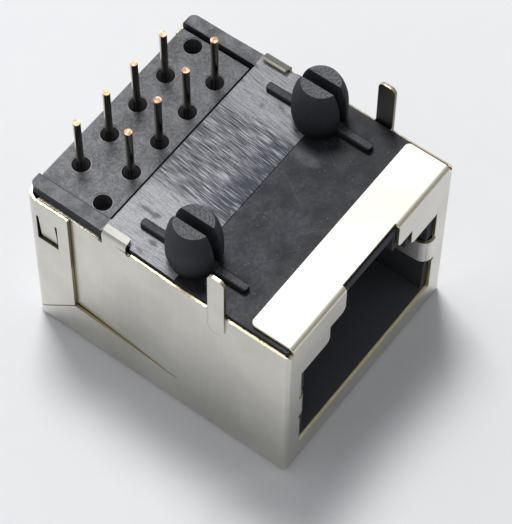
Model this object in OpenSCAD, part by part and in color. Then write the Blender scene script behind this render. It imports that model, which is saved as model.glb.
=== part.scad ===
// Shielded eight-way modular jack for a circuit board, lying with its board side up.
// The plug port faces -Y, the solder tails stand at the rear, and Z = 0 is the face it rests on.

/* [Board footprint] */
// Sideways step from one solder tail to the next
tail_pitch = 1.27; // [1.2:0.01:1.35]
// Distance between the two rows of solder tails
row_pitch = 2.54; // [2.2:0.01:2.9]
// From the rear row of tails to the outside of the rear cover
tail_to_rear = 1.53; // [1.4:0.01:1.9]
// Distance between the centres of the two board pegs
peg_spacing = 11.43; // [10.6:0.01:11.8]
// From the peg centres back to the front row of tails
peg_to_row = 6.35; // [6:0.01:6.8]
// From the peg centres forward to the middle of the ground legs
peg_to_leg = 3.05; // [2.8:0.01:3.4]

/* [Folded shell] */
// Outside width of the shell
shell_w = 15.5; // [15.3:0.05:17]
// Outside depth of the shell, from the front panel to the rear cover
shell_d = 18.2; // [17.4:0.05:21]
// Thickness of the sheet
sheet = 0.2; // [0.16:0.01:0.25]
// Outside radius of the folds
fold_r = 0.32; // [0.3:0.01:0.5]
// Outside radius of the upright folds beside the rear cover
rear_fold_r = 0.9; // [0.6:0.05:1]
// Clearance between the shell and the plastic inside it
shell_fit = 0.02; // [0.01:0.01:0.05]
// How far the side panels stop below the board face
side_drop = 0.3; // [0.15:0.05:0.6]
// How far the rear cover and its wings stop below the board face
rear_drop = 0.75; // [0.5:0.05:1]
// How far the middle of the rear cover stops below its ends
rear_dip = 0.9; // [0.5:0.05:1.4]
// Radius of the lower corners of that dip
rear_dip_r = 0.3; // [0.2:0.05:0.45]

/* [Board flange] */
// Depth of the flange that is folded over the board face
flange_d = 2.85; // [2:0.05:3.6]
// Open gap between the flange and each side panel
flange_gap = 0.25; // [0.1:0.01:0.4]
// Radius of the flange's rear corners
flange_corner_r = 0.3; // [0.1:0.05:0.6]
// Radius of the round relief where flange, front and side meet
relief_r = 0.16; // [0.12:0.01:0.24]

/* [Rear wings] */
// Length of the wings that fold forward from the rear cover
wing_l = 3.15; // [2.6:0.05:3.8]
// Height of a wing's lower edge at the rear fold
wing_low = 0.3; // [0.25:0.05:1]
// Height of a wing's lower edge at its front
wing_high = 3.35; // [2.8:0.05:4]
// Gap between a wing and the set-in panel that it covers
lap_gap = 0.03; // [0.02:0.01:0.06]
// Length of the slit that lets the side panel step inwards
slit_l = 7.4; // [6:0.1:8.2]
// Height of the slit at its front end
slit_low = 2.7; // [2:0.05:3.2]
// Width of the slit
slit_gap = 0.1; // [0.06:0.01:0.2]

/* [Lock lance] */
// Width of the lance cut in each wing
lance_w = 1.15; // [0.8:0.05:1.4]
// Height of the lance
lance_h = 2.1; // [1.5:0.05:2.6]
// From the wing's upper edge down to the lance
lance_drop = 1.4; // [1:0.05:2.5]
// From the outside of the rear cover to the middle of the lance
lance_in = 1.6; // [1.4:0.05:1.7]
// Width of the cut round the lance
lance_cut = 0.16; // [0.1:0.01:0.2]
// Angle by which the lance is pressed in
lance_angle = 4; // [1:0.5:5]

/* [Fold-over tabs] */
// Width of the tabs that hold the housing down
tab_w = 1.65; // [1.2:0.05:1.8]
// Length of a tab beyond its fold
tab_l = 0.36; // [0.25:0.01:0.5]
// Angle at which a tab still stands off the board face
tab_tilt = 17; // [10:1:25]
// From the front of the insert forward to the tab
tab_step = 0.15; // [0.1:0.05:0.4]
// Radius of the tab's free corners
tab_corner_r = 0.14; // [0.08:0.01:0.2]
// Radius of the relief cut beside the tab
tab_relief_r = 0.16; // [0.1:0.01:0.25]

/* [Ground legs] */
// Width of a ground leg
leg_w = 1.1; // [0.8:0.05:1.4]
// Height of the leg tips above the board face
leg_h = 3.4; // [2.5:0.05:4]
// Depth of the pressed root below the board face
leg_root = 2.1; // [1.6:0.05:3]
// How far the leg is pressed out of the side panel
leg_out = 0.12; // [0.05:0.01:0.18]
// Radius of the corners at the tip
leg_tip_r = 0.38; // [0.1:0.01:0.5]
// Radius of the fillets where the leg leaves the side panel
leg_fillet_r = 0.25; // [0.1:0.05:0.4]

/* [Plug port] */
// Width of the port for the plug body
port_w = 11.8; // [11.6:0.05:12.2]
// Height of the port for the plug body
port_h = 7.2; // [6.8:0.05:7.6]
// Height of the port's contact side above the resting face
port_low = 2.1; // [1.9:0.05:2.4]
// Width of the step above the plug body
step_w = 7.2; // [6.6:0.05:7.6]
// Height of the step above the plug body
step_h = 1.45; // [1.2:0.05:1.7]
// Width of the notch for the latch
notch_w = 4.4; // [4:0.05:4.8]
// Depth of the lip that the latch catches behind
lip_d = 1.5; // [1:0.05:2.5]
// Depth of the hollow for the latch behind the lip
latch_d = 6; // [4:0.1:7]
// Rim of housing left showing round the port, inside the shell's opening
rim = 0.27; // [0.15:0.01:0.35]
// Radius of the metal points beside the notch
point_r = 0.4; // [0.2:0.01:0.5]

/* [Spring fingers] */
// Outside radius of the fold where a finger leaves the front panel
finger_fold_r = 0.68; // [0.4:0.01:0.72]
// Width of the ground fingers at the sides of the opening
finger_w = 1.9; // [1.4:0.05:2.4]
// Height of the middle of the fingers above the resting face
finger_z = 5.9; // [5:0.05:6.5]
// Length of a finger behind its fold
finger_l = 3; // [2:0.1:3.6]
// Angle by which a finger leans into the port
finger_lean = 2; // [1:0.5:6]
// From the port's side to the edge of the shell's opening
finger_room = 0.55; // [0.5:0.01:0.7]

/* [Housing] */
// Height of the board face above the resting face
body_h = 13; // [12.8:0.05:14.5]
// Thickness of the wall under the contacts
roof_t = 0.75; // [0.6:0.05:0.85]
// Thickness of the wall between the latch notch and the board face
floor_t = 0.8; // [0.6:0.05:1]
// Width of the rails beside the insert
rail_w = 0.8; // [0.65:0.01:0.9]
// Radius of the rails' rear corners
rail_r = 0.5; // [0.3:0.05:0.6]
// How far the rails stand out over the edge of the stepped side panels
rail_out = 0.08; // [0.04:0.01:0.12]
// Wall between the plug port and the insert
back_wall = 1.6; // [1.2:0.05:2]
// How far the front half of the board face lies below the rear half
face_step = 0.06; // [0.02:0.01:0.12]

/* [Board pegs] */
// Radius of a peg at its widest, where it grips the board
peg_r = 1.6; // [1.5:0.01:1.65]
// Radius of a peg where it leaves the board face
peg_foot_r = 1.4; // [1.2:0.01:1.45]
// Radius of the flat top of a peg
peg_top_r = 1.13; // [1:0.01:1.3]
// Height of the pegs above the board face
peg_h = 3.55; // [3:0.05:4]
// Height of the straight gripping band above the board face
peg_band_z = 0.9; // [0.7:0.05:1.2]
// Length of the gripping band
peg_band_l = 0.8; // [0.6:0.05:1]
// Width of the slot that splits a peg
peg_slot_w = 0.64; // [0.5:0.01:0.9]
// Height above the board face where the slot ends
peg_slot_z = 0.5; // [0.3:0.05:0.65]

/* [Standing ribs] */
// Length of the ribs that keep the jack off the board
rib_l = 7.15; // [6:0.05:7.6]
// Width of a rib
rib_w = 0.6; // [0.5:0.01:0.9]
// Height of a rib
rib_h = 0.36; // [0.26:0.01:0.5]
// Radius of a rib's corners
rib_r = 0.22; // [0.1:0.01:0.25]
// Radius along a rib's upper edges
rib_top_r = 0.18; // [0.08:0.01:0.22]

/* [Contact insert] */
// From the front row of tails forward to the insert's front face
insert_to_row = 1.28; // [1.1:0.01:1.4]
// How far the insert's face lies below the board face
insert_drop = 0.4; // [0.2:0.05:0.6]
// Open joint beside the insert's face
insert_joint = 0.12; // [0.08:0.01:0.2]
// Open joint in front of the insert's face
front_joint = 0.3; // [0.15:0.01:0.4]
// Depth of the open joints
joint_d = 0.9; // [0.5:0.05:1.5]
// Clearance of the insert in its pocket
insert_fit = 0.02; // [0.01:0.01:0.05]
// Chamfer along the insert's rear edge
insert_chamfer = 0.1; // [0.05:0.05:0.4]
// Diameter of the holes round the tails
hole_d = 1.1; // [0.8:0.01:1.15]
// Depth of those holes
hole_depth = 1.4; // [0.8:0.1:2]
// Width of the sunk rim round each hole
hole_rim_w = 0.06; // [0.03:0.01:0.12]
// Depth of the sunk rim
hole_rim_d = 0.05; // [0.03:0.01:0.12]

/* [Contact wires] */
// Diameter of the contact wire
wire_d = 0.45; // [0.4:0.01:0.5]
// Height of the solder tails above the board face
tail_h = 3.5; // [2.8:0.05:4]
// Pitch of the contacts in the port
contact_pitch = 1.02; // [1:0.01:1.05]
// Bend radius of the wire at its centre line
wire_bend_r = 0.6; // [0.5:0.01:0.7]
// Swelling of the wire where it is pinched into a bend
pinch = 0.006; // [0.004:0.001:0.01]
// From the port's mouth back to the hairpin bend
hairpin_in = 4.8; // [4.2:0.1:5.4]
// Angle at which the free arms rise into the port
arm_rise = 24; // [20:0.5:26]
// Clearance round a wire in its hole
wire_fit = 0.02; // [0.01:0.01:0.04]
// Side clearance of a wire in its groove
groove_fit = 0.06; // [0.04:0.01:0.1]
// Length of the comb that keeps the free ends apart
comb_l = 1.3; // [1:0.1:1.8]
// Height of the comb above the port's contact side
comb_h = 4.2; // [3.8:0.1:4.8]
// Length of the chamfer at the tail tips
tip_chamfer = 0.08; // [0.04:0.01:0.15]

/* [Hidden] */
$fn = 48;
// Overlap of cutting shapes past the faces that they cut
past = 1;
// Overlap of joined pieces of one sheet
weld = 0.1;

contact_count = 8;

// Depth positions
front_y = -shell_d / 2;
rear_y = shell_d / 2;
row_rear_y = rear_y - tail_to_rear;
row_front_y = row_rear_y - row_pitch;
peg_y = row_front_y - peg_to_row;
leg_y = peg_y - peg_to_leg;
insert_front_y = row_front_y - insert_to_row;
tab_y = insert_front_y - tab_step - tab_w / 2;
wing_front_y = rear_y - wing_l;
slit_front_y = wing_front_y - slit_l;
mouth_y = front_y + sheet + shell_fit;
back_y = rear_y - sheet - shell_fit;
port_back_y = insert_front_y - back_wall;
comb_y = port_back_y - comb_l;

// Heights
flange_z = body_h + sheet;
side_z = body_h - side_drop;
rear_z = body_h - rear_drop;
base_z = sheet + shell_fit;
roof_z = base_z + roof_t;
port_top_z = port_low + port_h;
step_z = port_top_z + step_h;
notch_z = body_h - floor_t;
insert_z = body_h - insert_drop;
run_z = roof_z + wire_d / 2 + wire_fit;
channel_z = run_z + wire_bend_r + wire_d / 2;

// Half widths
side_x = shell_w / 2;
lap_x = side_x - sheet - lap_gap;
flange_x = side_x - sheet - flange_gap;
front_x = side_x - sheet - shell_fit;
body_x = lap_x - sheet - shell_fit;
tab_x = side_x - (side_x - lap_x) * (tab_y - slit_front_y) / slit_l;
pocket_x = body_x - rail_w;
dip_x = pocket_x - rail_w / 2;
insert_x = pocket_x - insert_fit;
opening_x = port_w / 2 + finger_room;
channel_x = (contact_count / 2) * tail_pitch;

// Contact wires
groove_w = wire_d + 2 * groove_fit;
jog_start_y = row_front_y - wire_bend_r - wire_fit;
jog_run = jog_start_y - port_back_y;
hairpin_y = mouth_y + hairpin_in;
arm_end_y = port_back_y - comb_l / 3;

function tail_x(i) = (i - (contact_count - 1) / 2) * tail_pitch;
function arm_x(i) = (i - (contact_count - 1) / 2) * contact_pitch;
function tail_y(i) = i % 2 == 0 ? row_rear_y : row_front_y;

module both_sides() {
    children();
    mirror([1, 0, 0]) children();
}

// Draws an outline of width and height across the part, through a span of depth.
module through_depth(y0, y1) {
    translate([0, y1, 0]) rotate([90, 0, 0]) linear_extrude(y1 - y0) children();
}

// Draws an outline of depth and height from the side, through a span of width.
module through_width(x0, x1) {
    translate([x0, 0, 0]) rotate([90, 0, 90]) linear_extrude(x1 - x0) children();
}

// Draws a plan outline through a span of height.
module through_height(z0, z1) {
    translate([0, 0, z0]) linear_extrude(z1 - z0) children();
}

module span(a0, b0, a1, b1) {
    translate([a0, b0]) square([a1 - a0, b1 - b0]);
}

module round_span(a0, b0, a1, b1, r) {
    span(a0 + r, b0, a1 - r, b1);
    span(a0, b0 + r, a1, b1 - r);
    for (a = [a0 + r, a1 - r]) for (b = [b0 + r, b1 - r]) translate([a, b]) circle(r);
}

// The corner left between a square corner at the origin and an arc of radius r inside it.
module corner_waste(r) {
    difference() {
        square(r);
        translate([r, r]) circle(r);
    }
}

// Sheet metal shell

// Closed box with rounded folds, set in from the outside of the shell.
module shell_block(inset) {
    r = fold_r - inset;
    x = side_x - inset;
    y = rear_y - inset;
    low = inset;
    high = flange_z - inset;
    intersection() {
        through_depth(-y, y) round_span(-x, low, x, high, r);
        through_width(-x, x) round_span(-y, low, y, high, r);
        through_height(low, high) difference() {
            span(-x, -y, x, y);
            for (s = [0, 1]) mirror([s, 0]) {
                translate([x, -y]) rotate(90) corner_waste(r);
                translate([x, y]) rotate(180) corner_waste(rear_fold_r - inset);
            }
        }
    }
}

// Keyed outline of the plug port: body, step and latch notch, each widened by its own gap.
module port_outline(side_gap, gap, top_z, r) {
    step_x = step_w / 2 + gap;
    notch_x = notch_w / 2 + gap;
    span(-port_w / 2 - side_gap, port_low - gap, port_w / 2 + side_gap, port_top_z + gap);
    span(-step_x, port_low, step_x, step_z + gap);
    span(-notch_x, port_low, notch_x, top_z);
    for (s = [0, 1]) mirror([s, 0]) {
        translate([step_x, port_top_z + gap]) corner_waste(r);
        translate([notch_x, step_z + gap]) corner_waste(r);
    }
}

// Opening of the front panel; its notch runs up through the fold of the flange.
module opening_cut() {
    through_depth(front_y - past, front_y + fold_r)
        port_outline(finger_room, rim, flange_z + past, point_r);
    for (s = [-1, 1]) for (t = [-1, 1])
        translate([s * opening_x, front_y - past, finger_z + t * (finger_w / 2 + relief_r)])
            rotate([-90, 0, 0]) cylinder(past + fold_r, r = relief_r);
}

// Everything on the board side of the box that isn't flange, side panel or rear cover.
module board_side_cut() {
    flange_y = front_y + flange_d;
    tall = flange_z - side_z + past;
    translate([-side_x - past, flange_y, side_z]) cube([shell_w + 2 * past, shell_d, tall]);
    translate([-side_x - past, wing_front_y, rear_z]) cube([shell_w + 2 * past, shell_d, tall + rear_drop]);
    through_depth(back_y, rear_y + past)
        round_span(-dip_x, rear_z - rear_dip, dip_x, flange_z + past, rear_dip_r);
    both_sides() {
        translate([flange_x, front_y - past, side_z]) cube([past + flange_gap + sheet, shell_d, tall]);
        through_height(body_h, flange_z + past)
            translate([flange_x, flange_y]) rotate(180) corner_waste(flange_corner_r);
        translate([flange_x + relief_r, front_y - past, side_z])
            rotate([-90, 0, 0]) cylinder(past + fold_r, r = relief_r);
    }
}

// Side view of the strip that stays in the plane of the shell, below the slit and the wing.
module strip_edge(lift) {
    polygon([
        [slit_front_y, slit_low + lift],
        [wing_front_y, wing_high + lift],
        [rear_y + past, wing_low + lift - past * (wing_high - wing_low) / wing_l],
        [rear_y + past, -past],
        [slit_front_y, -past]
    ]);
}

// Cuts of one side panel: the step's window, the wing's lower edge and the lance.
module side_cut() {
    x0 = side_x - sheet - lap_gap;
    x1 = side_x + past;
    through_width(x0, x1) difference() {
        span(slit_front_y, 0, wing_front_y, flange_z + past);
        strip_edge(0);
    }
    through_width(x0, x1) difference() {
        intersection() {
            strip_edge(slit_gap);
            span(wing_front_y - slit_gap, 0, rear_y + past, wing_high + slit_gap);
        }
        strip_edge(0);
    }
    through_width(x0, x1) lance_window(lance_cut);
}

// Side view of the lance and, with a margin, of the cut round it.
module lance_window(margin) {
    y = rear_y - lance_in;
    top = rear_z - lance_drop;
    span(y - lance_w / 2 - margin, top - lance_h - margin, y + lance_w / 2 + margin, top);
}

// The lance hangs from its upper edge and is pressed towards the housing.
module lance() {
    y = rear_y - lance_in;
    top = rear_z - lance_drop;
    press = lance_h * tan(lance_angle);
    through_depth(y - lance_w / 2, y + lance_w / 2) polygon([
        [side_x, top + weld],
        [side_x, top],
        [side_x - press, top - lance_h],
        [side_x - press - sheet, top - lance_h],
        [side_x - sheet, top],
        [side_x - sheet, top + weld]
    ]);
}

// Rear half of a side panel, stepped in by one sheet so that the wing lies flush over it.
module lapped_panel() {
    end_y = rear_y - rear_fold_r;
    tab_rear_y = tab_y + tab_w / 2;
    difference() {
        through_height(slit_low, side_z) polygon([
            [side_x, slit_front_y],
            [lap_x, wing_front_y],
            [lap_x, end_y],
            [lap_x - sheet, end_y],
            [lap_x - sheet, wing_front_y],
            [side_x - sheet, slit_front_y]
        ]);
        through_width(pocket_x, side_x + past) {
            strip_edge(slit_gap);
            span(tab_rear_y, rear_z, rear_y, flange_z + past);
            lance_window(2 * lance_cut);
            for (s = [-1, 1])
                translate([tab_y + s * (tab_w / 2 + tab_relief_r), s > 0 ? rear_z : side_z]) circle(tab_relief_r);
        }
    }
}

// Tab that rises from the stepped panel and folds in over the housing's board face.
module fold_over_tab() {
    y0 = tab_y - tab_w / 2;
    y1 = tab_y + tab_w / 2;
    centre_x = tab_x - fold_r;
    centre_z = body_h;
    fold = 90 - tab_tilt;
    free_x = centre_x + fold_r * cos(fold) - tab_l * sin(fold) - sheet * cos(fold);
    intersection() {
        through_depth(y0, y1) {
            span(tab_x - sheet, side_z - weld, tab_x, centre_z + sheet / 4);
            translate([centre_x, centre_z]) {
                intersection() {
                    difference() {
                        circle(fold_r);
                        circle(fold_r - sheet);
                    }
                    polygon(2 * fold_r * [[0, 0], [1, 0], [1, 1], [cos(fold), sin(fold)]]);
                }
                rotate(fold) translate([fold_r - sheet, -sheet / 4]) square([sheet, tab_l + sheet / 4]);
            }
        }
        through_height(0, flange_z + past) {
            round_span(free_x, y0, tab_x, y1, tab_corner_r);
            span(centre_x, y0, tab_x, y1);
        }
    }
}

// Outline of a ground leg seen from the side, with its rounded root.
module leg_outline() {
    root_z = body_h - leg_root;
    tip_z = body_h + leg_h;
    translate([leg_y, 0]) {
        translate([0, root_z + leg_w / 2]) circle(leg_w / 2);
        span(-leg_w / 2, root_z + leg_w / 2, leg_w / 2, side_z);
        round_span(-leg_w / 2, root_z + leg_w / 2, leg_w / 2, tip_z, leg_tip_r);
    }
}

// Leg, pressed out of the side panel, with the fillets that the panel keeps beside it.
module ground_leg() {
    through_width(side_x + leg_out - sheet, side_x + leg_out) leg_outline();
    through_width(side_x - sheet, side_x) translate([leg_y, side_z]) for (s = [0, 1]) mirror([s, 0]) {
        translate([leg_w / 2, 0]) corner_waste(leg_fillet_r);
        span(leg_w / 2, -weld, leg_w / 2 + leg_fillet_r, 0);
    }
}

// Hollow behind the pressed root of a ground leg.
module leg_hollow() {
    through_width(side_x - sheet - past, side_x + leg_out - sheet) intersection() {
        leg_outline();
        span(leg_y - leg_w, 0, leg_y + leg_w, side_z);
    }
}

// Ground finger, folded in from the side of the opening.
module spring_finger() {
    r = finger_fold_r;
    fold_y = front_y + r;
    through_height(finger_z - finger_w / 2, finger_z + finger_w / 2) {
        span(opening_x, front_y, opening_x + weld, front_y + sheet);
        translate([opening_x, fold_y]) {
            intersection() {
                difference() {
                    circle(r);
                    circle(r - sheet);
                }
                polygon(2 * r * [[0, 0], [-cos(finger_lean), -sin(finger_lean)], [-1, -1], [0, -1]]);
            }
            rotate(finger_lean) translate([-r, -weld]) square([sheet, finger_l + weld]);
        }
    }
}

module shield() {
    color("#c8c5bd") {
        difference() {
            shell_block(0);
            shell_block(sheet);
            board_side_cut();
            opening_cut();
            both_sides() {
                side_cut();
                leg_hollow();
            }
        }
        both_sides() {
            lapped_panel();
            fold_over_tab();
            ground_leg();
            spring_finger();
            lance();
        }
    }
}

// Moulded housing

// Split peg that snaps into the board, standing on the origin.
module board_peg() {
    taper_l = peg_h - peg_band_z - peg_band_l;
    taper_r = (pow(taper_l, 2) + pow(peg_r - peg_top_r, 2)) / (2 * (peg_r - peg_top_r));
    band_top = peg_band_z + peg_band_l;
    difference() {
        union() {
            translate([0, 0, -weld]) cylinder(weld, r = peg_foot_r);
            cylinder(peg_band_z, r1 = peg_foot_r, r2 = peg_r);
            translate([0, 0, peg_band_z]) cylinder(peg_band_l, r = peg_r);
            translate([0, 0, band_top]) rotate_extrude() intersection() {
                square([peg_r, taper_l]);
                translate([peg_r - taper_r, 0]) circle(taper_r, $fn = 360);
            }
        }
        translate([-peg_slot_w / 2, -2 * peg_r, peg_slot_z]) cube([peg_slot_w, 4 * peg_r, peg_h]);
    }
}

// Oblong rib that runs through a peg and keeps the jack off the board.
module standing_rib() {
    top = body_h + rib_h;
    translate([peg_spacing / 2, peg_y, 0]) intersection() {
        through_height(body_h - face_step - weld, top + past)
            round_span(-rib_w / 2, -rib_l / 2, rib_w / 2, rib_l / 2, rib_r);
        through_depth(-rib_l, rib_l) round_span(-rib_w / 2, 0, rib_w / 2, top, rib_top_r);
    }
}

// Pocket for the insert, open to the board side and to the rear.
module insert_pocket() {
    translate([-pocket_x, insert_front_y, roof_z]) cube([2 * pocket_x, shell_d, body_h]);
}

// Grooves and passage for the contact wires, and the comb slots for their free ends.
module wire_ways() {
    translate([-channel_x, port_back_y - weld, roof_z])
        cube([2 * channel_x, back_wall + 2 * weld, channel_z - roof_z]);
    for (i = [0 : contact_count - 1]) translate([arm_x(i) - groove_w / 2, 0, roof_z]) {
        translate([0, hairpin_y - wire_bend_r - groove_w, 0])
            cube([groove_w, port_back_y - hairpin_y + wire_bend_r + groove_w, port_low - roof_z + past]);
        translate([0, comb_y - past, 0])
            cube([groove_w, past + comb_l - weld, port_low - roof_z + comb_h + past]);
    }
}

module port_cavity() {
    through_depth(front_y, mouth_y + lip_d) port_outline(0, 0, notch_z, weld);
    through_depth(front_y, port_back_y) span(-port_w / 2, port_low, port_w / 2, port_top_z);
    translate([-step_w / 2, mouth_y + lip_d, port_top_z - past]) cube([step_w, latch_d, notch_z - port_top_z + past]);
}

// Side hollows that take the shell's spring fingers.
module finger_hollow() {
    deep = finger_fold_r + finger_l + 2 * finger_room;
    high = finger_w + 4 * relief_r;
    translate([port_w / 2 - past, front_y, finger_z - high / 2])
        cube([past + finger_room + rim, deep, high]);
}

// Plan of the housing, which follows the side panels; out widens its narrow rear end.
module housing_plan(out) {
    x = body_x + out;
    difference() {
        polygon([
            [front_x, mouth_y], [front_x, slit_front_y], [x, wing_front_y], [x, back_y],
            [-x, back_y], [-x, wing_front_y], [-front_x, slit_front_y], [-front_x, mouth_y]
        ]);
        for (s = [0, 1]) mirror([s, 0]) {
            translate([front_x, mouth_y]) rotate(90) corner_waste(fold_r - sheet);
            translate([x, back_y]) rotate(180) corner_waste(rail_r);
        }
    }
}

// Block of the housing, with its edges rounded to clear the inside of the shell's folds.
module housing_block() {
    edge_r = fold_r - sheet;
    over_z = rear_z + rail_out;
    intersection() {
        union() {
            through_height(base_z, body_h) housing_plan(0);
            through_height(over_z, body_h) difference() {
                housing_plan(rail_out);
                span(-side_x, front_y, side_x, tab_y + tab_w / 2 + tab_relief_r);
            }
        }
        through_depth(mouth_y, back_y) round_span(-front_x, base_z, front_x, body_h + past, edge_r);
        through_width(-front_x, front_x) round_span(mouth_y, base_z, back_y, body_h, edge_r);
    }
}

// Room in the housing's edge for the fold of a tab.
module tab_room() {
    translate([tab_x - fold_r, tab_y - tab_w / 2 - tab_relief_r, side_z - 2 * weld])
        cube([past, tab_w + 2 * tab_relief_r, past]);
}

module housing() {
    front_face_z = body_h - face_step;
    color("#26272b") {
        difference() {
            housing_block();
            translate([-side_x, front_y, front_face_z]) cube([shell_w, peg_y - front_y, past]);
            insert_pocket();
            difference() {
                port_cavity();
                translate([-channel_x, comb_y, 0]) cube([2 * channel_x, comb_l + past, port_low + comb_h]);
            }
            wire_ways();
            both_sides() {
                finger_hollow();
                tab_room();
            }
        }
        both_sides() {
            standing_rib();
            translate([peg_spacing / 2, peg_y, body_h - face_step]) board_peg();
        }
    }
}

// Contact insert

// Places of the holes in the insert's face: one for each tail, and a spare at the end of each row.
module hole_places() {
    for (i = [-1 : contact_count]) translate([tail_x(i), (i + contact_count) % 2 == 0 ? row_rear_y : row_front_y])
        children();
}

module contact_insert() {
    front = insert_front_y + insert_fit;
    low = roof_z + insert_fit;
    neck_x = pocket_x - insert_joint;
    neck_z = insert_z - joint_d;
    color("#3b3c41") difference() {
        translate([-insert_x, front, low]) cube([2 * insert_x, back_y - front, insert_z - low]);
        translate([-side_x, insert_front_y - past, neck_z]) cube([shell_w, past + front_joint, 2 * joint_d]);
        both_sides() translate([neck_x, front - past, neck_z]) cube([past, shell_d, 2 * joint_d]);
        translate([-channel_x, front - past, 0]) cube([2 * channel_x, row_rear_y + 2 * past - front, channel_z]);
        through_width(-side_x, side_x) polygon([
            [back_y - insert_chamfer, insert_z + weld],
            [back_y - insert_chamfer, insert_z],
            [back_y, insert_z - insert_chamfer],
            [back_y + weld, insert_z - insert_chamfer],
            [back_y + weld, insert_z + weld]
        ]);
        hole_places() {
            translate([0, 0, insert_z - hole_depth]) cylinder(hole_depth + past, d = hole_d);
            translate([0, 0, insert_z - hole_rim_d]) cylinder(hole_rim_d + past, d = hole_d + 2 * hole_rim_w);
        }
        for (i = [0 : contact_count - 1]) translate([tail_x(i), tail_y(i), 0])
            cylinder(insert_z, d = wire_d + 2 * wire_fit);
    }
}

// Contact wires, drawn from the tail tip on: each piece leaves its children at its end, along +Z.

module wire_run(l) {
    cylinder(l, d = wire_d);
    translate([0, 0, l]) children();
}

// Bends the wire by an angle towards the side that turn points to.
module wire_bend(r, angle, turn) {
    rotate([0, 0, turn]) {
        translate([r, 0, 0]) rotate([90, 0, 0]) rotate([0, 0, 180 - angle])
            rotate_extrude(angle = angle) translate([r, 0]) circle(d = wire_d);
        translate([r - r * cos(angle), 0, r * sin(angle)]) rotate([0, angle, 0]) rotate([0, 0, -turn]) children();
    }
}

// Turns the wire sharply sideways, with the slight swelling that the pinch leaves.
module wire_pinch(angle) {
    sphere(d = wire_d + 2 * pinch);
    rotate([0, angle, 0]) children();
}

module contact_wire(i) {
    tip_z = body_h + tail_h;
    shift = tail_x(i) - arm_x(i);
    jog = atan2(shift, jog_run);
    fold = 180 - arm_rise;
    arm_l = (arm_end_y - hairpin_y + wire_bend_r * sin(fold)) / cos(arm_rise);
    color("#a9865a") translate([tail_x(i), tail_y(i), tip_z]) rotate([180, 0, 0]) {
        cylinder(tip_chamfer, d1 = wire_d - 2 * tip_chamfer, d2 = wire_d);
        translate([0, 0, tip_chamfer])
            wire_run(tip_z - tip_chamfer - run_z - wire_bend_r)
                wire_bend(wire_bend_r, 90, 90)
                    wire_run(tail_y(i) - wire_bend_r - jog_start_y) wire_pinch(-jog)
                        wire_run(norm([jog_run, shift])) wire_pinch(jog)
                            wire_run(port_back_y - hairpin_y) wire_pinch(0)
                                wire_bend(wire_bend_r, fold, 90) wire_pinch(0)
                                    wire_run(arm_l);
    }
}

shield();
housing();
contact_insert();
for (i = [1 : contact_count]) contact_wire(i - 1);
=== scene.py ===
import math

import bmesh
import bpy
from mathutils import Matrix, Vector
from mathutils.bvhtree import BVHTree
from mathutils.kdtree import KDTree


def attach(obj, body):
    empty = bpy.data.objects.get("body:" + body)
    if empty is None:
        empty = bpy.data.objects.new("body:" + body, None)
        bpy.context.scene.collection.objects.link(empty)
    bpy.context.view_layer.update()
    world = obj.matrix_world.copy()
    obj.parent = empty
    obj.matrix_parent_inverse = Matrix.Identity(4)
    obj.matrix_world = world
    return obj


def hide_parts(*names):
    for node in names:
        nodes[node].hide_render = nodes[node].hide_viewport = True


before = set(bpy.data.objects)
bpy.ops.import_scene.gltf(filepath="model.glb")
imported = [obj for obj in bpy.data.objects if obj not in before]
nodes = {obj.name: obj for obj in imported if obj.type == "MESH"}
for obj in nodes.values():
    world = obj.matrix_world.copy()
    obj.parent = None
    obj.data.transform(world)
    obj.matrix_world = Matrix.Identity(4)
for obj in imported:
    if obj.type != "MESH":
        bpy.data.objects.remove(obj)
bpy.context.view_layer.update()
scene = bpy.context.scene


# Housing: one moulding of dark plastic with the plug port, the split board pegs, the standing ribs and the rails.
# The shell is folded round it, and its pegs snap into the circuit board.
# Its board face is smooth in front of the pegs and scuffed along its depth behind them.

def add(tree, kind, inputs=None, **settings):
    """New node; an input's value may be a number, a colour or another node's output."""
    node = tree.nodes.new(kind)
    for name, value in settings.items():
        setattr(node, name, value)
    for name, value in (inputs or {}).items():
        if isinstance(value, bpy.types.NodeSocket):
            tree.links.new(value, node.inputs[name])
        else:
            node.inputs[name].default_value = value
    return node


def calc(tree, operation, a, b=0.0):
    return add(tree, "ShaderNodeMath", {0: a, 1: b}, operation=operation).outputs[0]


def combined(tree, operation, values):
    result = values[0]
    for value in values[1:]:
        result = calc(tree, operation, result, value)
    return result


def total(tree, *values):
    return combined(tree, "ADD", values)


def both(tree, *masks):
    """Masks and shares multiplied together."""
    return combined(tree, "MULTIPLY", masks)


def either(tree, *masks):
    """The strongest of some masks."""
    return combined(tree, "MAXIMUM", masks)


def rise(tree, value, low, high, to_low=0.0, to_high=1.0):
    """Smooth rise of a value from to_low at low to to_high at high."""
    return add(tree, "ShaderNodeMapRange", {"Value": value, 1: low, 2: high, 3: to_low, 4: to_high},
               interpolation_type="SMOOTHSTEP").outputs[0]


def fall(tree, value, low, high):
    """Smooth fall from 1 at low to 0 at high."""
    return rise(tree, value, low, high, 1.0, 0.0)


def by_mask(tree, mask, at_none, at_full):
    """Number that goes from at_none where the mask is 0 to at_full where it is 1."""
    return rise(tree, mask, 0.0, 1.0, at_none, at_full)


def blend_colour(tree, share, a, b):
    node = add(tree, "ShaderNodeMix", {"Factor": share}, data_type="RGBA")
    for socket, value in ((node.inputs[6], a), (node.inputs[7], b)):
        if isinstance(value, bpy.types.NodeSocket):
            tree.links.new(value, socket)
        else:
            socket.default_value = (*value, 1.0)
    return node.outputs[2]


def layered(tree, colour, *coats):
    """Colour under some coats, each a mask and the colour that it lays on."""
    for mask, coat in coats:
        colour = blend_colour(tree, mask, colour, coat)
    return colour


def noise(tree, place, scale, detail=2.0, rough=0.5):
    return add(tree, "ShaderNodeTexNoise",
               {"Vector": place, "Scale": scale, "Detail": detail, "Roughness": rough}).outputs[0]


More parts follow.
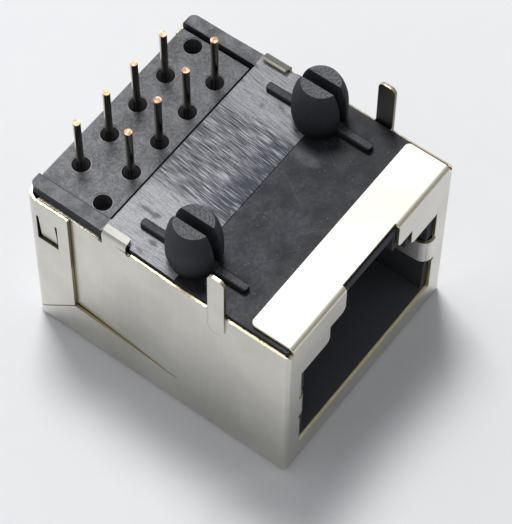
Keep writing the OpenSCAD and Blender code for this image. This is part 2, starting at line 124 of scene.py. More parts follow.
def stretched(tree, place, per_mm, turn=0.0):
    """Place turned about Z, then scaled on each axis, for patterns that run one way."""
    turned = add(tree, "ShaderNodeMapping", {"Vector": place, "Rotation": (0.0, 0.0, turn)})
    return add(tree, "ShaderNodeMapping", {"Vector": turned.outputs[0], "Scale": per_mm}).outputs[0]


def axes(tree, vector):
    return add(tree, "ShaderNodeSeparateXYZ", {0: vector}).outputs


def surface_normal(tree):
    return add(tree, "ShaderNodeNewGeometry").outputs["Normal"]


def new_finish(name):
    """Material with its tree, its Principled shader, and the place on the part in millimetres."""
    made = bpy.data.materials.new(name)
    made.use_nodes = True
    tree = made.node_tree
    tree.nodes.clear()
    shader = add(tree, "ShaderNodeBsdfPrincipled")
    add(tree, "ShaderNodeOutputMaterial", {"Surface": shader.outputs[0]})
    coords = add(tree, "ShaderNodeTexCoord")
    place = add(tree, "ShaderNodeMapping",
                {"Vector": coords.outputs["Object"], "Scale": (1000.0, 1000.0, 1000.0)})
    return made, tree, shader, place.outputs[0]


def new_effect(name, inputs, outputs):
    """Shader node group with a place and named numbers going in and masks coming out."""
    group = bpy.data.node_groups.new(name, "ShaderNodeTree")
    group.interface.new_socket("Place", in_out="INPUT", socket_type="NodeSocketVector")
    for socket in inputs:
        group.interface.new_socket(socket, in_out="INPUT", socket_type="NodeSocketFloat")
    for socket in outputs:
        group.interface.new_socket(socket, in_out="OUTPUT", socket_type="NodeSocketFloat")
    return group, group.nodes.new("NodeGroupInput"), group.nodes.new("NodeGroupOutput")


def place_effect(tree, group, place, values):
    node = add(tree, "ShaderNodeGroup", {}, node_tree=group)
    tree.links.new(place, node.inputs["Place"])
    for name, value in values.items():
        node.inputs[name].default_value = value
    return node.outputs


def bump(tree, shader, height, depth_mm):
    node = add(tree, "ShaderNodeBump", {"Height": height, "Strength": 1.0, "Distance": depth_mm / 1000.0})
    tree.links.new(node.outputs[0], shader.inputs["Normal"])


# Grain of a spark-eroded mould: fine pits and a broad, soft mottle.
moulded_grain, into, out = new_effect("moulded_grain", ["Pits per mm", "Mottle per mm"], ["Pits", "Mottle"])
pits = noise(moulded_grain, into.outputs["Place"], into.outputs["Pits per mm"], 2.0, 0.6)
mottle = noise(moulded_grain, into.outputs["Place"], into.outputs["Mottle per mm"], 5.0, 0.62)
moulded_grain.links.new(rise(moulded_grain, pits, 0.34, 0.66), out.inputs["Pits"])
moulded_grain.links.new(rise(moulded_grain, mottle, 0.34, 0.66), out.inputs["Mottle"])

# Marks of handling: a few straight hair scratches, two ways, and specks of dust.
handling_marks, into, out = new_effect("handling_marks", ["Scratches per mm", "Specks per mm"],
                                       ["Scratches", "Specks"])
scaled = add(handling_marks, "ShaderNodeVectorMath", {0: into.outputs["Place"]}, operation="SCALE")
handling_marks.links.new(into.outputs["Scratches per mm"], scaled.inputs["Scale"])
one_way = noise(handling_marks, stretched(handling_marks, scaled.outputs[0], (9.0, 0.22, 0.6), 0.55), 1.0, 0.0)
other_way = noise(handling_marks, stretched(handling_marks, scaled.outputs[0], (10.0, 0.3, 0.6), -0.85), 1.0, 0.0)
hair = either(handling_marks, rise(handling_marks, one_way, 0.75, 0.80), rise(handling_marks, other_way, 0.76, 0.81))
cells = add(handling_marks, "ShaderNodeTexVoronoi",
            {"Vector": into.outputs["Place"], "Scale": into.outputs["Specks per mm"]})
chosen = add(handling_marks, "ShaderNodeSeparateColor", {0: cells.outputs["Color"]}).outputs[0]
speck = both(handling_marks, fall(handling_marks, cells.outputs["Distance"], 0.08, 0.24),
             rise(handling_marks, chosen, 0.84, 0.9))
handling_marks.links.new(hair, out.inputs["Scratches"])
handling_marks.links.new(speck, out.inputs["Specks"])

black_moulding, tree, shader, place = new_finish("black_moulding")
mouth_y, peg_line_y, insert_front_y = -8.87, -1.32, 3.75
port_top_z, board_face_z, rib_top_z, peg_top_z = 12.5, 12.9, 13.2, 16.49
rail_inner_x, rail_outer_x = 6.5, 7.3
border_wander = 0.16

# Where on the moulding a point lies.
x, y, z = axes(tree, place)
across = calc(tree, "ABSOLUTE", x)
facing = axes(tree, surface_normal(tree))
upward = rise(tree, facing["Z"], 0.8, 0.95)
upright = fall(tree, facing["Z"], 0.5, 0.8)
sideways = rise(tree, calc(tree, "ABSOLUTE", facing["X"]), 0.5, 0.8)
beside_insert = rise(tree, y, insert_front_y, insert_front_y + 0.1)
border = both(tree, noise(tree, place, 1.5), border_wander)
behind_pegs = rise(tree, total(tree, y, border), peg_line_y + 0.03, peg_line_y + 0.11)
on_face = both(tree, upward, rise(tree, z, board_face_z - 0.02, board_face_z),
               fall(tree, z, rib_top_z, rib_top_z + 0.05))
scuffed = both(tree, on_face, behind_pegs)
on_tops = both(tree, upward, rise(tree, z, rib_top_z, rib_top_z + 0.05))
on_rails = both(tree, beside_insert, upward)
on_rail_side = both(tree, beside_insert, rise(tree, across, rail_outer_x - 0.1, rail_outer_x))
on_mouth = fall(tree, y, mouth_y + 0.17, mouth_y + 0.37)
on_sides = both(tree, upright, either(tree, rise(tree, z, board_face_z + 0.1, rib_top_z), on_rail_side, on_mouth))
in_port = both(tree, fall(tree, z, port_top_z - 0.3, port_top_z), rise(tree, y, mouth_y, mouth_y + 0.02))

# The smooth surfaces: dust, hair scratches, one rubbed mark, worn tops, painted shade at the feet of the pegs and
# ribs, and painted fill light in the port.
smooth_black, smooth_dusty = (0.0125, 0.0130, 0.0155), (0.056, 0.058, 0.072)
scratch_grey, speck_grey = (0.55, 0.55, 0.57), (0.6, 0.6, 0.6)
worn_top, rub_grey = (0.128, 0.130, 0.140), (0.105, 0.107, 0.118)
side_black, painted_foot_shade = (0.041, 0.043, 0.051), (0.008, 0.009, 0.011)
# Painted fill light in the port: its floor and walls are painted lighter than the plain black, the walls less than
# the floor.
port_floor_painted_fill, port_wall_painted_fill = (0.092, 0.095, 0.110), (0.045, 0.047, 0.055)
rub_x, rub_half, rub_end_y, rub_taper = 3.15, 0.45, -3.0, 1.1
dusty_x, less_dusty_x = -5.0, 5.0
little_worn_z, worn_z = 14.0, 15.0
grain = place_effect(tree, moulded_grain, place, {"Pits per mm": 8.0, "Mottle per mm": 1.1})
dust = place_effect(tree, moulded_grain, place, {"Pits per mm": 5.0, "Mottle per mm": 0.45})
marks = place_effect(tree, handling_marks, place, {"Scratches per mm": 0.8, "Specks per mm": 4.5})
dusty = both(tree, dust["Mottle"], by_mask(tree, dust["Pits"], 0.4, 1.0),
             rise(tree, x, dusty_x, less_dusty_x, 1.0, 0.5))
top_wear = both(tree, on_tops, by_mask(tree, grain["Pits"], 0.35, 1.0),
                rise(tree, z, little_worn_z, worn_z, 0.4, 1.0))
past_rub_end = both(tree, either(tree, calc(tree, "SUBTRACT", rub_end_y, y), 0.0), rub_taper)
from_rub = total(tree, calc(tree, "ABSOLUTE", calc(tree, "SUBTRACT", x, rub_x)), past_rub_end, border)
rub_and_painted_highlight = both(tree, on_face, fall(tree, from_rub, rub_half - 0.2, rub_half + 0.1),
              by_mask(tree, grain["Pits"], 0.25, 0.6))
# Painted shade: the upright sides darken towards the feet of the pegs and ribs, where they meet the board face.
foot_shade = both(tree, fall(tree, z, rib_top_z, rib_top_z + 2.0), rise(tree, z, board_face_z + 0.05, board_face_z + 0.1))
clean = layered(tree, smooth_black,
                (both(tree, dusty, on_face), smooth_dusty),
                (both(tree, marks["Scratches"], on_face, 0.04), scratch_grey),
                (both(tree, marks["Specks"], on_face, 0.2), speck_grey),
                (top_wear, worn_top),
                (rub_and_painted_highlight, rub_grey),
                (on_sides, blend_colour(tree, foot_shade, side_black, painted_foot_shade)),
                (in_port, blend_colour(tree, sideways, port_floor_painted_fill, port_wall_painted_fill)))

# The scuffed face: fine lines combed along the depth, darkest and densest in the middle near the pegs. Its light
# grey base is painted sheen, dimmer on the far side.
painted_sheen_grey, painted_sheen_far = (0.460, 0.463, 0.488), (0.330, 0.333, 0.353)
combed_grey, gloom_blue = (0.185, 0.188, 0.206), (0.020, 0.025, 0.040)
scuff_white, scuff_black = (0.44, 0.45, 0.495), (0.021, 0.023, 0.031)
smudge_grey = (0.050, 0.051, 0.057)
combed_x, combed_half, combed_turn = 0.8, 3.25, 0.10
far_side_x, far_edge_x = 2.5, 5.0
gloom_y, clear_y = 0.5, 2.3


def combed(tree, place, across_per_mm, along_per_mm, detail=0.0, rough=0.5):
    """Noise drawn out along the way that the face was scuffed."""
    return noise(tree, stretched(tree, place, (across_per_mm, along_per_mm, 1.0), combed_turn), 1.0, detail, rough)


fine = combed(tree, place, 24.0, 1.0)
medium = combed(tree, place, 16.0, 0.55, 1.0)
coarse = combed(tree, place, 1.8, 0.35, 3.0, 0.6)
dashes = rise(tree, combed(tree, place, 11.0, 1.0), 0.66, 0.75)
patches = rise(tree, combed(tree, place, 1.5, 0.8, 1.0), 0.60, 0.72)
lines = total(tree, both(tree, fine, 0.48), both(tree, medium, 0.38), both(tree, coarse, 0.14))
from_middle = calc(tree, "ABSOLUTE", total(tree, x, coarse, -combed_x))
middle = fall(tree, from_middle, combed_half - 0.8, combed_half + 0.8)
near_pegs = fall(tree, total(tree, y, both(tree, coarse, 3.0)), gloom_y, clear_y)
grit = both(tree, fall(tree, grain["Pits"], 0.0, 1.0), by_mask(tree, middle, 0.24, 0.45))
light_lines = both(tree, rise(tree, lines, 0.54, 0.61), by_mask(tree, middle, 0.5, 1.0))
dark_lines = both(tree, either(tree, fall(tree, lines, 0.41, 0.48), both(tree, dashes, 0.5)),
                  by_mask(tree, middle, 0.42, 1.0))
gloom = both(tree, near_pegs, middle, rise(tree, lines, 0.50, 0.61, 0.97, 0.3))
smudges = both(tree, patches, fall(tree, middle, 0.2, 0.6), 0.75)
scuffs_and_sheen = layered(tree, painted_sheen_grey,
               (rise(tree, x, far_side_x, far_edge_x), painted_sheen_far),
               (middle, combed_grey),
               (grit, scuff_black),
               (light_lines, scuff_white),
               (dark_lines, scuff_black),
               (gloom, gloom_blue),
               (smudges, smudge_grey))

# The rails keep the grain of the mould, with a thin line of painted shade along their inner edge beside the insert.
rail_dark, rail_light = (0.035, 0.035, 0.040), (0.215, 0.216, 0.228)
rail_grain = total(tree, both(tree, grain["Mottle"], 0.7), both(tree, grain["Pits"], 0.3))
rail = layered(tree, rail_dark,
               (rail_grain, rail_light),
               (fall(tree, across, rail_inner_x + 0.04, rail_inner_x + 0.07), scuff_black))

tree.links.new(layered(tree, clean, (scuffed, scuffs_and_sheen), (on_rails, rail)), shader.inputs["Base Color"])
tree.links.new(total(tree, by_mask(tree, grain["Mottle"], 0.56, 0.64),
                     both(tree, either(tree, scuffed, on_rails), -0.07), both(tree, on_sides, 0.22)),
               shader.inputs["Roughness"])
bump(tree, shader, total(tree, both(tree, grain["Pits"], rise(tree, z, board_face_z, peg_top_z, 0.5, 3.0)),
                         both(tree, medium, scuffed, 1.5)), 0.002)
shader.inputs["IOR"].default_value = 1.40
shader.inputs["Specular Tint"].default_value = (0.93, 0.95, 1.0, 1.0)
nodes["housing"].material_slots[0].material = black_moulding


# Contact insert: a second, slightly lighter moulding that carries the wires and slides into the housing's rear.
# Its face keeps the grain of the mould, and each tail stands in a wide round recess with a sunk rim.

grained_moulding, tree, shader, place = new_finish("grained_moulding")
insert_face_z, insert_rear_y = 12.6, 8.3
recess_depth, rim_depth = 0.3, 0.06
near_end_x, far_end_x, end_recess_x = -6.0, 6.0, 5.0
rim_lit_x, rim_shaded_x = -5.0, 3.0
grain_dark, grain_light = (0.022, 0.022, 0.025), (0.218, 0.220, 0.235)
dust_grey, rim_painted_highlight = (0.55, 0.55, 0.55), (0.29, 0.29, 0.30)
tail_recess_painted_fill, end_recess_painted_fill = (0.30, 0.30, 0.32), (0.09, 0.09, 0.095)
x, y, z = axes(tree, place)
grain = place_effect(tree, moulded_grain, place, {"Pits per mm": 7.5, "Mottle per mm": 0.6})
marks = place_effect(tree, handling_marks, place, {"Scratches per mm": 0.5, "Specks per mm": 2.4})
lightness = both(tree, total(tree, both(tree, grain["Mottle"], 0.55), both(tree, grain["Pits"], 0.45)),
                 rise(tree, x, near_end_x, far_end_x, 1.05, 0.8))
# Painted highlight on the sunk rims, fading towards the far end.
on_rim = both(tree, rise(tree, z, insert_face_z - rim_depth - 0.01, insert_face_z - rim_depth),
              fall(tree, z, insert_face_z - 0.02, insert_face_z - 0.01))
face = layered(tree, grain_dark,
               (lightness, grain_light),
               (both(tree, marks["Specks"], 0.12), dust_grey),
               (both(tree, on_rim, rise(tree, x, rim_lit_x, rim_shaded_x, 1.0, 0.25)), rim_painted_highlight))
# Painted fill light: the recesses round the tails, and those at the ends, are painted lighter than the face.
recess_painted_fill = blend_colour(tree, rise(tree, calc(tree, "ABSOLUTE", x), end_recess_x, end_recess_x + 0.2),
                      tail_recess_painted_fill, end_recess_painted_fill)
out_of_recess = either(tree, rise(tree, z, insert_face_z - recess_depth, insert_face_z - rim_depth),
                       rise(tree, y, insert_rear_y, insert_rear_y + 0.1))
tree.links.new(blend_colour(tree, out_of_recess, recess_painted_fill, face), shader.inputs["Base Color"])
tree.links.new(by_mask(tree, grain["Mottle"], 0.46, 0.54), shader.inputs["Roughness"])
bump(tree, shader, grain["Pits"], 0.008)
shader.inputs["IOR"].default_value = 1.5
shader.inputs["Specular Tint"].default_value = (0.94, 0.96, 1.0, 1.0)
nodes["contact_insert"].material_slots[0].material = grained_moulding


# Contact wires: eight drawn wires of a copper alloy, plated before they are cut, so the tips show bare alloy.
# Each is bent forward under the port, jogged to the plug's pitch and turned back in a hairpin as a spring.
# The tails are tarnished, with a painted highlight along one side, and the springs have a flash of gold.

wire_count = 8
wire_d, wire_sides = 0.45, 18
bend_r, bend_steps = 0.6, 10
tail_pitch, spring_pitch = 1.27, 1.02
rear_row_y, front_row_y = 7.57, 5.03
tip_z, recess_floor_z, run_z = 16.5, 11.9, 1.215
tip_bevel, tip_share = 0.07, 0.78
tip_lean, lean_seed = 0.07, 4
least_lean, most_lean = (-1.3, -0.2, 0.0), (0.4, 1.2, 0.0)
jog_start_y, jog_end_y = 4.4, 2.15
hairpin_y, spring_end_y, spring_rise = -4.08, 1.717, math.radians(24.0)
fold_y = hairpin_y - bend_r / math.tan(spring_rise / 2.0)
spring_end_z = run_z + (spring_end_y - fold_y) * math.tan(spring_rise)
points, links, thickness, leaning, wire_number = [], [], [], [], []
for wire in range(wire_count):
    from_middle_wire = wire - (wire_count - 1) / 2.0
    tail_x, spring_x = from_middle_wire * tail_pitch, from_middle_wire * spring_pitch
    tail_y = front_row_y if wire % 2 else rear_row_y
    first = len(points)
    points += [(tail_x, tail_y, tip_z), (tail_x, tail_y, tip_z - tip_bevel), (tail_x, tail_y, recess_floor_z),
               (tail_x, tail_y, run_z), (tail_x, jog_start_y, run_z), (spring_x, jog_end_y, run_z),
               (spring_x, fold_y, run_z), (spring_x, spring_end_y, spring_end_z)]
    links += [(at, at + 1) for at in range(first, len(points) - 1)]
    thickness += [tip_share] + [1.0] * (len(points) - first - 1)
    leaning += [1.0, 1.0] + [0.0] * (len(points) - first - 2)
    wire_number += [wire] * (len(points) - first)
wire_paths = bpy.data.meshes.new("wire_paths")
wire_paths.from_pydata([[v / 1000.0 for v in point] for point in points], links, [])
for name, kind, values in (("thickness", "FLOAT", thickness), ("leaning", "FLOAT", leaning),
                           ("wire", "INT", wire_number)):
    wire_paths.attributes.new(name, kind, "POINT").data.foreach_set("value", values)

bent_wire = bpy.data.node_groups.new("bent_wire", "GeometryNodeTree")
bent_wire.interface.new_socket("Paths", in_out="INPUT", socket_type="NodeSocketGeometry")
bent_wire.interface.new_socket("Wires", in_out="OUTPUT", socket_type="NodeSocketGeometry")
wire_input = {name: bent_wire.interface.new_socket(name, in_out="INPUT", socket_type=kind).identifier
              for name, kind in (("Wire Radius", "NodeSocketFloat"), ("Bend Radius", "NodeSocketFloat"),
                                 ("Lean", "NodeSocketFloat"), ("Seed", "NodeSocketInt"),
                                 ("Finish", "NodeSocketMaterial"))}
into = bent_wire.nodes.new("NodeGroupInput")
out = bent_wire.nodes.new("NodeGroupOutput")


def attribute(tree, name, data_type):
    return add(tree, "GeometryNodeInputNamedAttribute", {"Name": name}, data_type=data_type).outputs["Attribute"]


chance = add(bent_wire, "FunctionNodeRandomValue",
             {"Min": least_lean, "Max": most_lean, "ID": attribute(bent_wire, "wire", "INT"),
              "Seed": into.outputs["Seed"]}, data_type="FLOAT_VECTOR").outputs[0]
sway = calc(bent_wire, "MULTIPLY", into.outputs["Lean"], attribute(bent_wire, "leaning", "FLOAT"))
offset = add(bent_wire, "ShaderNodeVectorMath", {0: chance, "Scale": sway}, operation="SCALE").outputs[0]
leant = add(bent_wire, "GeometryNodeSetPosition", {"Geometry": into.outputs["Paths"], "Offset": offset})
line = add(bent_wire, "GeometryNodeMeshToCurve", {0: leant.outputs[0]})
bent = add(bent_wire, "GeometryNodeFilletCurve",
           {"Curve": line.outputs[0], "Count": bend_steps, "Radius": into.outputs["Bend Radius"],
            "Limit Radius": True}, mode="POLY")
sized = add(bent_wire, "GeometryNodeSetCurveRadius",
            {"Curve": bent.outputs[0], "Radius": attribute(bent_wire, "thickness", "FLOAT")})
section = add(bent_wire, "GeometryNodeCurvePrimitiveCircle",
              {"Resolution": wire_sides, "Radius": into.outputs["Wire Radius"]})
swept = add(bent_wire, "GeometryNodeCurveToMesh",
            {"Curve": sized.outputs[0], "Profile Curve": section.outputs[0], "Fill Caps": True})
real = add(bent_wire, "GeometryNodeRealizeInstances", {"Geometry": swept.outputs[0]})
coated = add(bent_wire, "GeometryNodeSetMaterial",
             {"Geometry": real.outputs[0], "Material": into.outputs["Finish"]})
bent_wire.links.new(coated.outputs[0], out.inputs["Wires"])


def points_along(tree, direction, way):
    """How far a direction points one way."""
    return add(tree, "ShaderNodeVectorMath", {0: direction, 1: way}, operation="DOT_PRODUCT").outputs["Value"]


plated_wire, tree, shader, place = new_finish("plated_wire")
tarnish_dark, tarnish_light = (0.085, 0.079, 0.070), (0.115, 0.107, 0.095)
alloy_dark, alloy_painted_highlight, alloy_rear = (0.36, 0.19, 0.10), (0.74, 0.52, 0.34), (0.62, 0.50, 0.34)
plating_painted_highlight, spring_gold = (0.58, 0.54, 0.42), (0.80, 0.60, 0.27)
highlight_way = (-0.59, 0.81, 0.0)
y, z = axes(tree, place)[1:]
toward_highlight = points_along(tree, surface_normal(tree), highlight_way)
spring = fall(tree, y, jog_end_y - 0.15, jog_end_y + 0.85)
rear_row = rise(tree, y, front_row_y + 0.5, rear_row_y - 0.5)
cut_tip = rise(tree, z, tip_z - tip_bevel, tip_z - 0.02)
# Painted highlight: the plating is painted lighter on one side of each tail, above the board face.
rub_and_painted_highlight = both(tree, rise(tree, toward_highlight, 0.40, 0.75), rise(tree, z, board_face_z - 0.1, board_face_z + 1.1))
drawn = noise(tree, stretched(tree, place, (14.0, 14.0, 0.8)), 1.0, 3.0, 0.6)
# The cut tips: bare alloy, with a painted highlight patch on each.
bare = layered(tree, alloy_dark,
               (rise(tree, noise(tree, place, 4.0), 0.42, 0.58), alloy_painted_highlight),
               (both(tree, rear_row, 0.4), alloy_rear))
plating = layered(tree, tarnish_dark,
                  (rise(tree, drawn, 0.35, 0.65), tarnish_light),
                  (rub_and_painted_highlight, plating_painted_highlight),
                  (spring, spring_gold))
dull = either(tree, both(tree, cut_tip, 0.4), both(tree, spring, 0.26))
tree.links.new(blend_colour(tree, cut_tip, plating, bare), shader.inputs["Base Color"])
tree.links.new(total(tree, rise(tree, drawn, 0.3, 0.7, 0.15, 0.20), dull), shader.inputs["Roughness"])
bump(tree, shader, both(tree, drawn, fall(tree, spring, 0.0, 1.0)), 0.001)
shader.inputs["Metallic"].default_value = 1.0

wire_maker = bpy.data.objects.new("wire_maker", wire_paths)
scene.collection.objects.link(wire_maker)
bending = wire_maker.modifiers.new("bending", "NODES")
bending.node_group = bent_wire
for name, value in (("Wire Radius", wire_d / 2000.0), ("Bend Radius", bend_r / 1000.0),
                    ("Lean", tip_lean / 1000.0), ("Seed", lean_seed), ("Finish", plated_wire)):
    bending[wire_input[name]] = value
wire_mesh = bpy.data.meshes.new_from_object(wire_maker.evaluated_get(bpy.context.evaluated_depsgraph_get()))
wire_maker.modifiers.remove(bending)
bpy.data.objects.remove(wire_maker)
wire_mesh.name = "contact_wires"
wire_mesh.shade_smooth()
wire_mesh.set_sharp_from_angle(angle=math.radians(35.0))
wires = bpy.data.objects.new("contact_wires", wire_mesh)
scene.collection.objects.link(wires)
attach(wires, "root")
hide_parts(*["contact_%d" % (wire + 1) for wire in range(wire_count)])


# Shield: one sheet of nickel-plated brass, blanked and folded round the housing.
# Its sheared edges show the bare brass. The rear cover's wings lie over the set-in side panels,
# and two tabs fold over the housing and hold it.

sheet_mm = 0.2
side_x, side_top_z, middle_z = 7.4, 12.7, 6.5
leg_y, leg_w, leg_foot_z = -4.37, 1.1, 11.45
leg_reach = 0.75
into_face, weld_m, under_face_m = 0.1, 1e-7, 1e-6
cad_mesh = nodes["shield"].data
corner_places = KDTree(len(cad_mesh.loops))
for polygon in cad_mesh.polygons:
    for corner in polygon.loop_indices:
        spot = cad_mesh.vertices[cad_mesh.loops[corner].vertex_index].co
        corner_places.insert(spot.lerp(polygon.center, into_face), corner)
corner_places.balance()

# A face with more than a sheet's thickness behind it is a sheared edge, apart from the pressed sides of the legs.
shield_mesh = bpy.data.meshes.new("folded_shield")
merged = bmesh.new()
merged.from_mesh(cad_mesh)
bmesh.ops.remove_doubles(merged, verts=merged.verts, dist=weld_m)
walls = BVHTree.FromBMesh(merged)
is_cut = []
for face in merged.faces:
    centre = face.calc_center_median()
    depth = walls.ray_cast(centre - face.normal * under_face_m, -face.normal)[3]
    deep = depth is None or depth * 1000.0 > 1.4 * sheet_mm
    spot = centre * 1000.0
    pressed = abs(spot.y - leg_y) < leg_reach and spot.z < side_top_z - 0.01 and abs(spot.x) > side_x
    is_cut.append(deep and not pressed)
merged.faces.index_update()
merged.verts.index_update()
outside = [0.0] * len(merged.verts)
for face, cut in zip(merged.faces, is_cut):
    away = face.calc_center_median() - Vector((0.0, 0.0, middle_z / 1000.0))
    if not cut and face.normal.dot(away) > 0.0:
        for vert in face.verts:
            outside[vert.index] = 1.0
merged.to_mesh(shield_mesh)
merged.free()
shield_mesh.attributes.new("sheared", "FLOAT", "FACE").data.foreach_set("value", [float(cut) for cut in is_cut])
shield_mesh.attributes.new("outside", "FLOAT", "POINT").data.foreach_set("value", outside)
shield_mesh.shade_smooth()
normals = []
for polygon in shield_mesh.polygons:
    for corner in polygon.loop_indices:
        spot = shield_mesh.vertices[shield_mesh.loops[corner].vertex_index].co
        near = corner_places.find(spot.lerp(polygon.center, into_face))[1]
        normals.append(cad_mesh.corner_normals[near].vector.copy())
shield_mesh.normals_split_custom_set(normals)
shield = bpy.data.objects.new("folded_shield", shield_mesh)
scene.collection.objects.link(shield)

plated_sheet, tree, shader, place = new_finish("plated_sheet")
front_inside_y, flange_behind_y, wing_front_y = -8.8, -5.5, 3.3
set_in_x, outer_x = 7.545, 7.74
edge = add(tree, "ShaderNodeAttribute", attribute_name="sheared", attribute_type="GEOMETRY").outputs["Fac"]
outer = add(tree, "ShaderNodeAttribute", attribute_name="outside", attribute_type="GEOMETRY").outputs["Fac"]
x, y, z = axes(tree, place)
across = calc(tree, "ABSOLUTE", x)
facing = axes(tree, surface_normal(tree))
upward = rise(tree, facing["Z"], 0.3, 0.8)
marks = place_effect(tree, handling_marks, place, {"Scratches per mm": 0.4, "Specks per mm": 1.2})
brushed = noise(tree, stretched(tree, place, (9.0, 9.0, 0.16)), 1.0, 3.0, 0.6)
cloudy = noise(tree, place, 0.35, 3.0, 0.5)
satin = noise(tree, place, 11.0, 2.0, 0.6)
torn = noise(tree, place, 3.2, 4.0, 0.65)

# The plating: brushed and cloudy, cream on the front fold, with a painted shade line along the pressed step beside
# each leg, and painted light and shade on the spring fingers.
nickel_dull, nickel_bright = (0.625, 0.610, 0.560), (0.685, 0.670, 0.614)
fold_cream, press_painted_shade = (0.80, 0.71, 0.50), (0.30, 0.29, 0.26)
finger_painted_light, finger_shade = (0.90, 0.89, 0.86), (0.42, 0.40, 0.36)
finger_x, finger_low_z, finger_high_z = 7.35, 1.0, 12.2
finger_lit_y, finger_dark_y = -8.6, -7.0
fold_low_z, press_shade_strong, press_shade_weak = 11.0, 0.85, 0.30
front_fold = both(tree, rise(tree, facing["Z"], 0.2, 0.45), fall(tree, facing["Z"], 0.75, 0.95),
                  fall(tree, y, front_inside_y - 0.1, front_inside_y), rise(tree, z, fold_low_z, fold_low_z + 0.5))
beside_leg = calc(tree, "SUBTRACT", y, leg_y)
below_foot = calc(tree, "MINIMUM", calc(tree, "SUBTRACT", z, leg_foot_z), 0.0)
from_leg = calc(tree, "SQRT", total(tree, both(tree, beside_leg, beside_leg), both(tree, below_foot, below_foot)))
# Painted shade along the pressed step round each leg, strongest at the foot.
press_shade_line = both(tree, rise(tree, from_leg, leg_w / 2.0 - 0.11, leg_w / 2.0),
                  fall(tree, from_leg, leg_w / 2.0 + 0.10, leg_w / 2.0 + 0.20),
                  rise(tree, beside_leg, -0.40, -0.05),
                  rise(tree, z, leg_foot_z - 0.4, leg_foot_z + 0.2, press_shade_strong, press_shade_weak),
                  rise(tree, across, outer_x - 0.04, outer_x))
finger = both(tree, fall(tree, across, finger_x - 0.05, finger_x),
              rise(tree, y, front_inside_y - 0.15, front_inside_y - 0.05),
              rise(tree, z, finger_low_z, finger_low_z + 0.2), fall(tree, z, finger_high_z - 0.2, finger_high_z))
# Painted light and shade on the spring fingers: light at the mouth, darker further in.
finger_painted_light_and_shade = blend_colour(tree, rise(tree, y, finger_lit_y, finger_dark_y), finger_painted_light, finger_shade)
nickel = layered(tree, nickel_dull,
                 (rise(tree, total(tree, both(tree, brushed, 0.25), both(tree, cloudy, 0.75)), 0.38, 0.62),
                  nickel_bright),
                 (both(tree, front_fold, 0.7), fold_cream),
                 (press_shade_line, press_painted_shade),
                 (finger, finger_painted_light_and_shade))

# The sheared edges: brass with painted light and shade by facing, dim where they don't face up and a ragged bright
# band where they face up, painted highlights on the rolled and set-in edges, and painted light on the sill in the
# port's shade.
brass_dark, brass_dim = (0.20, 0.17, 0.09), (0.50, 0.43, 0.24)
brass_bright, brass_painted_highlight = (0.80, 0.69, 0.42), (1.0, 0.92, 0.68)
brass_sill_painted_light, brass_painted_glint = (1.0, 0.88, 0.54), (0.80, 0.70, 0.50)
low_edge_z, sill_z, top_edge_z, tab_edge_z = 7.0, 3.0, 12.0, 13.0
glint_from_y, glint_to_y = -1.6, 0.4
at_top = rise(tree, z, top_edge_z - 0.4, top_edge_z)
at_front = fall(tree, y, front_inside_y, front_inside_y + 0.1)
inward = both(tree, fall(tree, facing["X"], -0.8, -0.3), rise(tree, z, tab_edge_z - 0.1, tab_edge_z))
upward_cut = either(tree, inward, both(tree, upward, either(tree, at_top, at_front)))
# Painted glints in patches along the top edges towards the front.
top_edge_glint = both(tree, upward_cut, at_top,
                fall(tree, total(tree, y, both(tree, torn, 2.0)), glint_from_y, glint_to_y))
ragged = total(tree, outer, both(tree, calc(tree, "SUBTRACT", torn, 0.5), 0.9))
sheared_band = both(tree, rise(tree, ragged, 0.02, 0.22), fall(tree, ragged, 0.62, 0.85))
set_in = both(tree, rise(tree, y, wing_front_y, wing_front_y + 0.2), fall(tree, across, set_in_x, set_in_x + 0.003))
sill = both(tree, at_front, fall(tree, z, sill_z, sill_z + 1.0))
rolled = either(tree, inward, sill)
brass = layered(tree, brass_dark,
                (fall(tree, z, low_edge_z, low_edge_z + 1.0), brass_dim),
                (both(tree, upward_cut, sheared_band), brass_bright),
                (both(tree, upward_cut, either(tree, rolled, set_in)), brass_painted_highlight),
                (both(tree, upward_cut, sill), brass_sill_painted_light),
                (both(tree, top_edge_glint, rise(tree, torn, 0.36, 0.5)), brass_painted_glint))

dull = either(tree, both(tree, edge, by_mask(tree, set_in, 0.10, 0.0)), both(tree, finger, 0.3),
              both(tree, upward, fall(tree, y, flange_behind_y, flange_behind_y + 0.5), 0.29))
rough = total(tree, rise(tree, brushed, 0.3, 0.7, 0.30, 0.32), dull, both(tree, marks["Scratches"], 0.02))
skin = total(tree, both(tree, brushed, 0.03), both(tree, satin, 0.03))
edge_round = both(tree, outer, outer, edge, by_mask(tree, rolled, -7.0, -22.0))
tree.links.new(blend_colour(tree, edge, nickel, brass), shader.inputs["Base Color"])
tree.links.new(rough, shader.inputs["Roughness"])
bump(tree, shader, total(tree, skin, both(tree, torn, edge, 9.0), edge_round), 0.004)
shader.inputs["Metallic"].default_value = 1.0
shield_mesh.materials.clear()
shield_mesh.materials.append(plated_sheet)
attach(shield, "root")
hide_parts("shield")


# Table, light and camera: a pale table under one lamp above and behind the part.
# The room is brighter to the left and behind, and has a soft bright patch in front.
# The camera stands where the photograph was taken from.

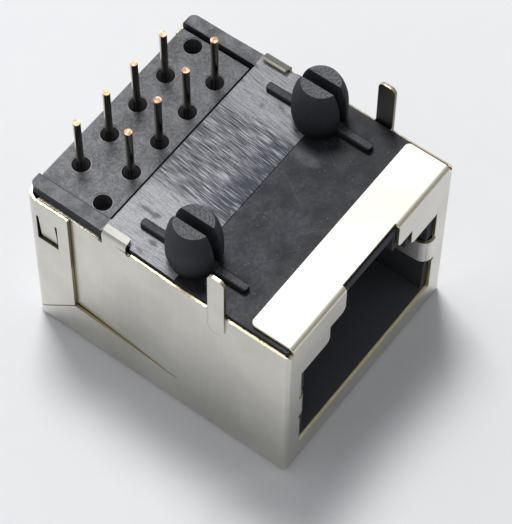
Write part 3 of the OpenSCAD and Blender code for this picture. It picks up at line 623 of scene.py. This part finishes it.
table_half, table_z = 0.6, -0.00002
table_mesh = bpy.data.meshes.new("table")
table_mesh.from_pydata([(-table_half, -table_half, table_z), (table_half, -table_half, table_z),
                        (table_half, table_half, table_z), (-table_half, table_half, table_z)], [], [(0, 1, 2, 3)])
table = bpy.data.objects.new("table", table_mesh)
scene.collection.objects.link(table)
pale_table, tree, shader, place = new_finish("pale_table")
paper_shade, paper_light = (0.832, 0.837, 0.860), (0.852, 0.857, 0.880)
tree.links.new(blend_colour(tree, noise(tree, place, 0.6, 3.0), paper_shade, paper_light),
               shader.inputs["Base Color"])
shader.inputs["Roughness"].default_value = 0.7
shader.inputs["Specular IOR Level"].default_value = 0.2
table_mesh.materials.append(pale_table)

world = bpy.data.worlds.new("room")
scene.world = world
world.use_nodes = True
tree = world.node_tree
bright_way, patch_way = (-0.50, 0.70, 0.50), (0.45, -0.62, 0.64)
room_dim, room_bright, patch_bright = 0.052, 0.495, 0.7
toward = add(tree, "ShaderNodeTexCoord").outputs["Generated"]
glow = total(tree, rise(tree, points_along(tree, toward, bright_way), -0.4, 0.6, room_dim, room_bright),
             rise(tree, points_along(tree, toward, patch_way), 0.93, 0.98, 0.0, patch_bright))
room = tree.nodes["Background"]
room.inputs["Color"].default_value = (0.96, 0.98, 1.0, 1.0)
tree.links.new(glow, room.inputs["Strength"])

lamp_radiance = 30.0
lamp_w, lamp_h = 0.09, 0.09
lamp_away = 0.34
lamp_toward = Vector((0.25, 0.315, 1.0)).normalized()
lamp_light = bpy.data.lights.new("lamp", "AREA")
lamp_light.shape = "RECTANGLE"
lamp_light.size, lamp_light.size_y = lamp_w, lamp_h
lamp_light.energy = lamp_radiance * math.pi * lamp_w * lamp_h
lamp_light.color = (1.0, 0.995, 0.98)
lamp = bpy.data.objects.new("lamp", lamp_light)
lamp.matrix_world = (Matrix.Translation(lamp_toward * lamp_away)
                     @ lamp_toward.to_track_quat("Z", "Y").to_matrix().to_4x4())
scene.collection.objects.link(lamp)

focal_px, long_side_px = 2560.5, 524
camera_place = Vector((-0.063198, -0.047132, 0.129820))
camera_toward = Vector((0.42966, 0.31185, -0.84744))
camera_roll = math.radians(0.875)
lens = bpy.data.cameras.new("camera")
lens.sensor_width = 36.0
lens.lens = focal_px / long_side_px * lens.sensor_width
lens.clip_start, lens.clip_end = 0.005, 5.0
camera = bpy.data.objects.new("camera", lens)
camera.matrix_world = (Matrix.Translation(camera_place) @ camera_toward.to_track_quat("-Z", "Y").to_matrix().to_4x4()
                       @ Matrix.Rotation(camera_roll, 4, "Z"))
scene.collection.objects.link(camera)
scene.camera = camera
scene.view_settings.view_transform = "Standard"
